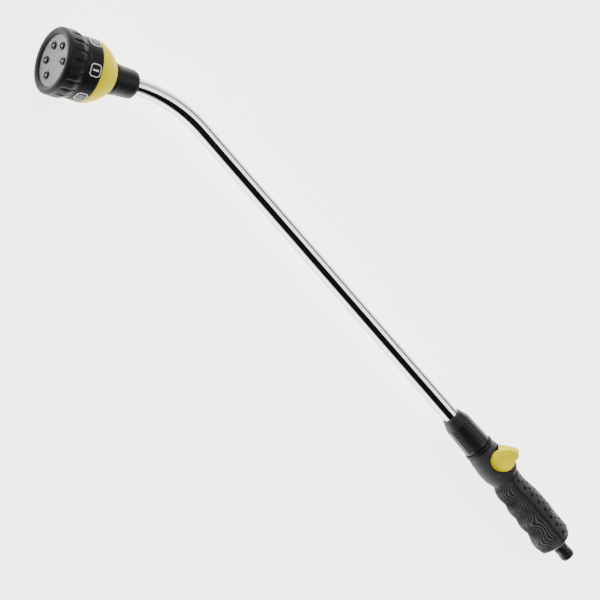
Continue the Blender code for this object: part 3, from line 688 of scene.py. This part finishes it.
def make_tube():
    """The bent tube: a circle swept along the straight run, the bend and the stub in the neck."""
    tangent = BEND_RADIUS * math.tan(BEND / 2)
    reach = HEAD_FROM_VERTEX + TUBE_STOP
    path = [(-4.0 + (BEND_VERTEX + tangent + 4.0) * i / 12, 0.0) for i in range(12)]
    for i in range(33):
        angle = BEND * i / 32
        along = BEND_VERTEX + tangent - BEND_RADIUS * math.sin(angle)
        path.append((along, -BEND_RADIUS * (1 - math.cos(angle))))
    path.append((BEND_VERTEX - reach * math.cos(BEND), -reach * math.sin(BEND)))
    path = np.array(path)
    heading = np.gradient(path, axis=0)
    heading /= np.linalg.norm(heading, axis=1, keepdims=True)
    side = np.stack((-heading[:, 1], heading[:, 0]), axis=1)
    rows = len(path) - 1

    def place(u, v):
        row = np.rint(v * rows).astype(int)
        angle = u * math.tau
        outward = TUBE_RADIUS * np.cos(angle)
        centre = path[row]
        return (
            centre[:, 0] + side[row, 0] * outward,
            centre[:, 1] + side[row, 1] * outward,
            TUBE_RADIUS * np.sin(angle),
        )

    tube = wrapped("lance_tube_skin", 96, rows, place)
    only(tube)
    wall = tube.modifiers.new("wall", "SOLIDIFY")
    wall.thickness = 0.8 * MM
    wall.offset = -1.0
    bpy.ops.object.modifier_apply(modifier=wall.name)
    done(tube, Matrix.Translation(AXIS_POINT), "lance", "chrome_tube", "lance_tube", smooth=40.0)


def make_union_nut():
    """The union nut: six long raised panels with a rib between two slots from one panel to the next."""
    rows = [(-46.6, 8.4), (-46.6, 9.3), (-46.1, 9.9), (-45.4, 10.4)]
    rows += [(-45.4 + 9.4 * i / 10, 10.4 + 3.1 * i / 10) for i in range(1, 11)]
    rows += [(-36.0 + 31.4 * i / 60, 13.5 + 0.9 * i / 60) for i in range(1, 61)]
    rows += [(-4.0, 14.3), (-3.5, 13.9), (-3.4, 12.2)]
    rows += [(-25.6, 12.2), (-25.6, 11.4), (-38.4, 11.4), (-38.4, 8.4)]
    nut = turned("union_nut_skin", rows, 432, None)
    points = read_points(nut) / MM
    radius = np.hypot(points[:, 0], points[:, 1])
    degrees = np.degrees(np.arctan2(points[:, 1], points[:, 0])) - 81.0
    across = np.abs(np.mod(degrees + 30.0, 60.0) - 30.0)
    along = points[:, 2]
    reach = np.clip((along + 36.0) / 1.2, 0, 1) * np.clip((-6.4 - along) / 1.2, 0, 1)
    slot = np.clip(1.0 - np.abs(across - 24.6) / 2.6, 0, 1) * 2.2
    lowered = np.where(across > 23.0, 0.25, 0.0)
    drop = reach * (np.clip(slot, 0, 1) * 0.9 + lowered)
    outer = radius > 12.4
    scale = np.where(outer, (radius - drop) / radius, 1.0)
    points[:, 0] *= scale
    points[:, 1] *= scale
    write_points(nut, points * MM)
    done(nut, HANDLE, "nut", "nut_plastic", "union_nut", smooth=40.0)


def make_collar():
    profile = [
        (-3.1, 12.2), (-3.1, 15.0), (-2.7, 15.6), (-2.0, 15.9), (-0.6, 15.9), (0.1, 15.7),
        (0.6, 15.2), (0.6, 12.2),
    ]
    collar = turned("collar_ring_skin", profile, 128, 0.2)
    done(collar, HANDLE, "handle", "collar_plastic", "collar_ring")


# ---------------------------------------------------------------- handle

TOP_HEIGHT = (
    (1.0, 14.6), (8.0, 16.6), (14.0, 18.4), (33.0, 18.6), (37.0, 18.4), (41.0, 15.4),
    (52.0, 13.9), (78.0, 16.2), (95.0, 16.3), (106.0, 15.2), (124.0, 15.0), (130.0, 13.0),
    (137.0, 3.4),
)
HALF_WIDTH = (
    (1.0, 14.8), (20.0, 15.4), (42.0, 13.6), (60.0, 14.6), (90.0, 15.6), (122.0, 16.6),
    (130.0, 14.5), (137.0, 7.6),
)
BODY_BOTTOM = ((1.0, 15.2), (10.0, 16.4), (22.0, 17.6), (30.0, 17.4), (42.0, 14.6))
FINGER_CUSPS = (42.0, 64.5, 84.0, 104.0, 131.5, 137.0)
CUSP_DEPTHS = (14.6, 17.2, 18.8, 19.2, 21.6, 12.0)
FINGER_BULGES = (2.4, 1.8, 1.9, 2.6)
HALF_GAP = 0.12  # from the middle plane to each housing half


def eased(table, x):
    """Smooth values between the table's (x, value) rows."""
    x = np.asarray(x, float)
    value = np.full_like(x, table[0][1])
    for (x0, v0), (x1, v1) in zip(table, table[1:]):
        t = np.clip((x - x0) / (x1 - x0), 0, 1)
        step = v0 + (v1 - v0) * t * t * (3 - 2 * t)
        value = np.where(x > x0, step, value)
    return value


def bottom_height(x):
    """Depth of the finger side, with a bulge between each two finger cusps."""
    depth = eased(BODY_BOTTOM, x)
    rows = list(zip(FINGER_CUSPS, CUSP_DEPTHS))
    for ((x0, r0), (x1, r1)), bulge in zip(zip(rows, rows[1:]), FINGER_BULGES):
        t = np.clip((x - x0) / (x1 - x0), 0, 1)
        depth = np.where(x > x0, r0 + (r1 - r0) * t + bulge * np.sin(math.pi * t), depth)
    return np.where(x > FINGER_CUSPS[4], eased(rows[4:], x), depth)


def handle_outline(x, degrees, inset):
    """The handle's outside as (thumb, side) from the axis; 0 degrees is the thumb side."""
    up, side = np.cos(np.radians(degrees)), np.sin(np.radians(degrees))
    height = np.where(up > 0, eased(TOP_HEIGHT, x), bottom_height(x)) - inset
    half = eased(HALF_WIDTH, x) - inset
    return height * np.sign(up) * np.abs(up) ** 0.88, half * np.sign(side) * np.abs(side) ** 0.88


def arc(radius, first, last, steps):
    angles = [math.radians(first + (last - first) * i / steps) for i in range(steps + 1)]
    return [(radius * math.cos(a), radius * math.sin(a)) for a in angles]


def in_lever_frame(piece):
    """Moves a cutter from the lever's frame to the handle's."""
    piece.data.transform(Matrix.Translation((LEVER_HEIGHT * MM, 0.0, LEVER_X * MM)))
    return piece


def make_housing():
    """The two housing halves, moulded as one skin with the lever's saddle, then parted."""
    front = np.linspace(1.0, GRIP_START, 56)
    under_skin = np.concatenate(([GRIP_START + 0.4], np.linspace(SKIN_START, GRIP_END, 90)))
    tail = np.linspace(GRIP_END + 0.4, HOUSING_END, 8)
    stations = np.concatenate((front, under_skin, tail))
    insets = np.repeat((0.0, SKIN, 0.9), (len(front), len(under_skin), len(tail)))
    rows = len(stations) + 1

    def place(u, v):
        row = np.rint(v * rows).astype(int)
        middle = (row == 0) | (row == rows)
        index = np.clip(row - 1, 0, len(stations) - 1)
        thumb, side = handle_outline(stations[index], u * 360.0, insets[index])
        return np.where(middle, 0.0, thumb), np.where(middle, 0.0, side), stations[index]

    shell = wrapped("housing_skin", 120, rows, place)
    sweep = arc(13.0, 207, -9, 48) + arc(BOSS_RADIUS, -9, 207, 48)
    drum_way = prism("drum_way", sweep, 4.6)
    drum_way.data.transform(Matrix.Translation((0, 4.65 * MM, 0)))
    cut(shell, in_lever_frame(drum_way))
    join_solid(shell, in_lever_frame(rod("boss", BOSS_RADIUS, (0, -1.0, 0), (0, BOSS_WIDTH, 0), 96)))
    cut(shell, in_lever_frame(rod("cheek_pocket", 12.9, (0, BOSS_WIDTH, 0), (0, 22.0, 0), 128)))
    cut(shell, in_lever_frame(rod("shaft_bore", 3.2, (0, -8.6, 0), (0, 12, 0), 32)))
    cut(shell, slab("finger_slot", (4.0, -2.1, 13.0), (14.5, 2.1, 27.0)))
    cut(shell, rod("channel", 8.9, (0, 0, -2.0), (0, 0, 46.6), 48))
    cut(shell, rod("water_way", 6.7, (0, 0, 45.0), (-PLUG_DROP, 0, 125.0), 32))
    cut(shell, rod("plug_socket", 6.5, (-PLUG_DROP, 0, 122.0), (-PLUG_DROP, 0, 140.0), 48))
    cut(shell, rod("plug_groove", 8.6, (-PLUG_DROP, 0, 127.7), (-PLUG_DROP, 0, 131.3), 48))
    for x in (58.0, 86.0, 114.0):
        cut(shell, rod("screw_way", 1.5, (8.6, 6.6, x), (8.6, -20.0, x), 16))
        cut(shell, rod("screw_recess", 2.9, (8.6, -3.9, x), (8.6, -20.0, x), 24))
    cut(shell, slab("rear_slot", (14.0, 4.4, 39.6), (22.0, 9.6, 41.0)))
    moulded(shell, 0.42, 3)
    halves = {"left": shell, "right": copy_of(shell, "housing_right_skin")}
    shell.name = "housing_left_skin"
    for side, half in halves.items():
        way = 1.0 if side == "left" else -1.0
        only(half)
        bpy.ops.object.mode_set(mode="EDIT")
        bpy.ops.mesh.select_all(action="SELECT")
        bpy.ops.mesh.bisect(
            plane_co=(0, way * HALF_GAP * MM, 0), plane_no=(0, way, 0), use_fill=True, clear_inner=True
        )
        bpy.ops.object.mode_set(mode="OBJECT")
        done(half, HANDLE, "handle", "housing_plastic", f"housing_{side}", smooth=45.0)


def edge_fall(distance, radius):
    """How far a skin's edge curls in at a distance from it, as a quarter round."""
    inside = np.clip(1.0 - distance / radius, 0.0, 1.0)
    return radius * (1.0 - np.sqrt(1.0 - inside**2))


def skin_piece(name, first, last, columns, rows, relief_and_painted_light):
    """A strip of the grip's skin between two angles, with its raised pattern, a tone of painted highlight and
    shade, curled edges and a wall.
    """

    def place(u, v):
        degrees = first + (last - first) * u
        x = SKIN_START + (GRIP_END - SKIN_START) * v
        to_side = np.minimum(degrees - first, last - degrees) * MM_PER_DEGREE
        to_edge = np.minimum(to_side, np.minimum(x - SKIN_START, GRIP_END - x))
        # tone is painted light: lighter on ridge tops, darker in furrows and dimples.
        raised, tone = relief_and_painted_light(x, degrees, to_edge)
        sunk = edge_fall(to_edge, 1.1) - raised
        thumb, side = handle_outline(x, degrees, 0.0)
        size = np.hypot(thumb, side)
        return thumb * (1 - sunk / size), side * (1 - sunk / size), x, tone

    piece = wrapped(name, columns, rows, place)
    only(piece)
    wall = piece.modifiers.new("wall", "SOLIDIFY")
    wall.thickness = 0.9 * MM
    wall.offset = -1.0
    bpy.ops.object.modifier_apply(modifier=wall.name)
    return piece


def ripple_relief(x, degrees, to_edge):
    """Fine contour ridges that run along the grip and fan out round each finger bulge; the tone paints the ridge
    tops lighter as painted highlight and the furrows darker as painted shade.
    """
    from_seam = np.minimum(degrees - SEAM, 360.0 - SEAM - degrees) * 0.30
    depth = np.clip(from_seam / 30.0, 0, 1)
    nearest = np.interp(x, FINGER_CUSPS[:5], np.arange(5))
    wave = np.cos(math.tau * nearest)
    level = from_seam + 7.0 * wave * depth**1.5 + 0.9 * np.sin(x / 7.0 + from_seam / 5.0)
    level += 0.10 * x * (1 - depth)
    ridge = 0.5 + 0.5 * np.sin(math.tau * level / 1.75)
    rear_round = np.hypot(np.clip(x - 112.0, 0, None), np.clip(16.0 - from_seam, 0, None) * 1.1)
    mask = np.clip((from_seam - 1.6) / 1.0, 0, 1) * np.clip((to_edge - 0.8) / 0.8, 0, 1)
    mask *= np.clip((17.5 - rear_round) / 1.0, 0, 1)
    # The second value is painted light: lighter on the crests, darker in the furrows.
    return mask * (0.75 * ridge**1.3 - 0.7), 0.5 + mask * (ridge - 0.62)


def dimple_relief(x, degrees, _to_edge):
    """Five rows of round dimples, the outer ones larger, staggered from row to row, with painted shade darkening
    each dimple.
    """
    pitch = 10.4
    arc_place = degrees * MM_PER_DEGREE
    depth = np.zeros_like(x)
    rows = (
        (0.0, 1.3, 49.0), (4.9, 1.55, 54.0), (-4.9, 1.55, 54.0), (9.9, 2.0, 49.0), (-9.9, 2.0, 49.0),
    )
    for across, radius, start in rows:
        along = np.mod(x - start + 5.0, pitch) - 5.0
        away = np.hypot(arc_place - across, along)
        inside = (x > start - 4.0) & (x < 127.0)
        depth = np.where(inside, np.maximum(depth, np.clip((radius - away) / 0.55, 0, 1)), depth)
    # The second value is painted shade, darkest at each dimple's floor.
    return -1.2 * depth * depth * (3 - 2 * depth), 0.5 * (1 - depth)


def make_grip():
    sleeve = skin_piece("grip_sleeve_skin", SEAM + 0.8, 360.0 - SEAM - 0.8, 200, 250, ripple_relief)
    done(sleeve, HANDLE, "handle", "grip_rubber", "grip_sleeve", smooth=60.0)
    pad = skin_piece("thumb_pad_skin", -SEAM + 0.6, SEAM - 0.6, 100, 240, dimple_relief)
    done(pad, HANDLE, "handle", "pad_rubber", "thumb_pad", smooth=60.0)


def make_lever():
    """The yellow thumb lever: a drum over the boss with one cheek, a broad tab and two plain grooves."""
    drum = rod("thumb_lever_skin", HUB_RADIUS, (0, 0.6, 0), (0, HUB_WIDTH, 0), 160)
    outline = [(-10.4, 6.0), (-6.5, 12.6)]
    outline += [(z + 1.8, x + 12.4) for z, x in arc(5.2, 128, -8, 14)]
    outline += [(11.4, 4.4), (0.0, 3.0)]
    tab = prism("tab", outline, TAB_HALF_WIDTH)
    tab.data.transform(Matrix.Translation((0, TAB_CENTRE * MM, 0)))
    join_solid(drum, tab)
    cut(drum, rod("hollow", 10.2, (0, -CHEEK_START, 0), (0, CHEEK_START, 0), 96))
    cut(drum, prism("mouth", [(0.0, 0.0)] + arc(14.0, 165, 355, 40), CHEEK_START))
    cut(drum, rod("bore", 2.7, (0, 0, 0), (0, 10.6, 0), 32))
    for shift in (0.0, 2.9):
        start = Vector((-4.0 + shift, 1.6 - shift))
        end = Vector((-0.3 + shift, 13.2 - shift * 0.7))
        side = (end - start).orthogonal().normalized() * 0.6
        corners = [start + side, end + side, end - side, start - side]
        groove = prism("groove", [tuple(c) for c in corners], 2.0)
        groove.data.transform(Matrix.Translation((0, 13.2 * MM, 0)))
        cut(drum, groove)
    moulded(drum, 0.3, 6)
    done(drum, LEVER, "lever", "lever_yellow", "thumb_lever", smooth=60.0)
    shaft = rod("cam_shaft_skin", 2.4, (0, -8.2, 0), (0, 10.4, 0), 48)
    finger = slab("finger", (-FINGER_LENGTH, -1.6, -1.2), (0.0, 1.6, 1.2))
    finger.data.transform(Matrix.Rotation(-LEVER_TRAVEL / 2, 4, "Y"))
    join_solid(shaft, rod("journal", 2.9, (0, -7.0, 0), (0, 8.8, 0), 48), finger)
    bevelled(shaft, 0.2, 2)
    done(shaft, LEVER, "lever", "steel", "cam_shaft")


def make_hose_plug():
    profile = [
        (125.0, 3.3), (125.0, 6.0), (128.0, 6.0), (128.0, 8.2), (131.0, 8.2), (131.0, 6.0),
        (137.6, 6.0), (138.3, 7.0), (142.7, 7.1), (143.4, 6.2), (144.6, 6.2), (145.3, 7.2),
        (147.2, 7.2), (147.2, 5.7), (149.2, 5.7), (149.2, 7.2), (151.3, 7.2), (153.0, 6.3),
        (153.0, 4.2), (128.2, 4.2), (128.2, 3.3),
    ]
    done(turned("hose_plug_skin", profile, 96, 0.2), PLUG, "handle", "plug_plastic", "hose_plug")
    bpy.ops.mesh.primitive_torus_add(
        major_segments=96,
        minor_segments=24,
        major_radius=6.6 * MM,
        minor_radius=0.75 * MM,
        location=(0, 0, 148.2 * MM),
    )
    seal = bpy.context.object
    seal.name = "plug_seal_skin"
    bpy.ops.object.transform_apply(location=True, rotation=True, scale=True)
    done(seal, PLUG, "handle", "seal_rubber", "plug_seal")


# ---------------------------------------------------------------- floor, light and camera


def make_stage():
    bpy.ops.mesh.primitive_plane_add(size=14.0, location=(0, 0, cad_low.z - 0.0003))
    floor = bpy.context.object
    floor.name = "studio_floor"
    paper = Nodes("studio_floor")
    paper.shader.inputs["Base Color"].default_value = (0.93, 0.93, 0.93, 1.0)
    paper.shader.inputs["Roughness"].default_value = 0.9
    paper.shader.inputs["Emission Color"].default_value = (1.0, 1.0, 1.0, 1.0)
    paper.shader.inputs["Emission Strength"].default_value = 3.6
    floor.data.materials.append(paper.material)


def make_world():
    """A white studio with soft-edged dark stretches, which give the chrome tube its black band."""
    world = bpy.data.worlds.new("studio")
    bpy.context.scene.world = world
    world.use_nodes = True
    tree = world.node_tree
    background = tree.nodes["Background"]
    place = tree.nodes.new("ShaderNodeTexCoord")
    dark_stretches = (
        ((0.361, -0.641, 0.677), 1.0),
        ((0.646, -0.109, 0.755), 1.0),
        ((0.36, 0.915, 0.17), 0.875),  # a lower weight makes it smaller
    )
    nearest = None
    for dark_way, weight in dark_stretches:
        facing = tree.nodes.new("ShaderNodeVectorMath")
        facing.operation = "DOT_PRODUCT"
        facing.inputs[1].default_value = Vector(dark_way).normalized() * weight
        tree.links.new(place.outputs["Generated"], facing.inputs[0])
        if nearest is None:
            nearest = facing
            continue
        larger = tree.nodes.new("ShaderNodeMath")
        larger.operation = "MAXIMUM"
        tree.links.new(nearest.outputs["Value"], larger.inputs[0])
        tree.links.new(facing.outputs["Value"], larger.inputs[1])
        nearest = larger
    edge = tree.nodes.new("ShaderNodeMapRange")
    outer_edge, inner_edge = math.radians(33), math.radians(30)
    edge.inputs["From Min"].default_value = math.cos(outer_edge)
    edge.inputs["From Max"].default_value = math.cos(inner_edge)
    tree.links.new(nearest.outputs["Value"], edge.inputs["Value"])
    tone = tree.nodes.new("ShaderNodeMix")
    tone.data_type = "RGBA"
    tone.inputs[6].default_value = (1.0, 1.0, 1.0, 1.0)
    tone.inputs[7].default_value = (0.01, 0.01, 0.011, 1.0)
    tree.links.new(edge.outputs["Result"], tone.inputs[0])
    tree.links.new(tone.outputs[2], background.inputs["Color"])
    background.inputs["Strength"].default_value = 0.8


def soft_light(name, where, size, power):
    data = bpy.data.lights.new(name, "AREA")
    data.shape = "DISK"
    data.size = size
    data.energy = power
    lamp = bpy.data.objects.new(name, data)
    bpy.context.scene.collection.objects.link(lamp)
    lamp.location = where
    lamp.rotation_euler = (-Vector(where)).to_track_quat("-Z", "Y").to_euler()


def make_camera():
    """The camera looks down on the wand and is turned so that the wand runs corner to corner."""
    right = Vector((0.6141, 0.5912, 0.5228)).normalized()
    back = Vector((-0.3614, -0.3782, 0.8523))
    back = (back - right * back.dot(right)).normalized()
    up = back.cross(right)
    distance = 6.0
    target = AXIS_POINT - right * 0.1775 + up * 0.1470
    data = bpy.data.cameras.new("camera")
    data.sensor_width = 36.0
    data.lens = 363.7
    camera = bpy.data.objects.new("camera", data)
    bpy.context.scene.collection.objects.link(camera)
    camera.matrix_world = placed_frame(right, up, back, target + back * distance)
    bpy.context.scene.camera = camera


def main():
    finish_frame_nodes()
    make_head_shell()
    make_neck()
    make_dial_ring()
    make_face_plate()
    make_nozzles()
    make_marks()
    make_tube()
    make_union_nut()
    make_collar()
    make_housing()
    make_grip()
    make_lever()
    make_hose_plug()
    make_stage()
    make_world()
    soft_light("key_light", (-1.6, 1.2, 1.8), 1.6, 30.0)
    soft_light("side_light", (0.9, 1.0, 2.1), 1.6, 14.0)
    make_camera()


main()
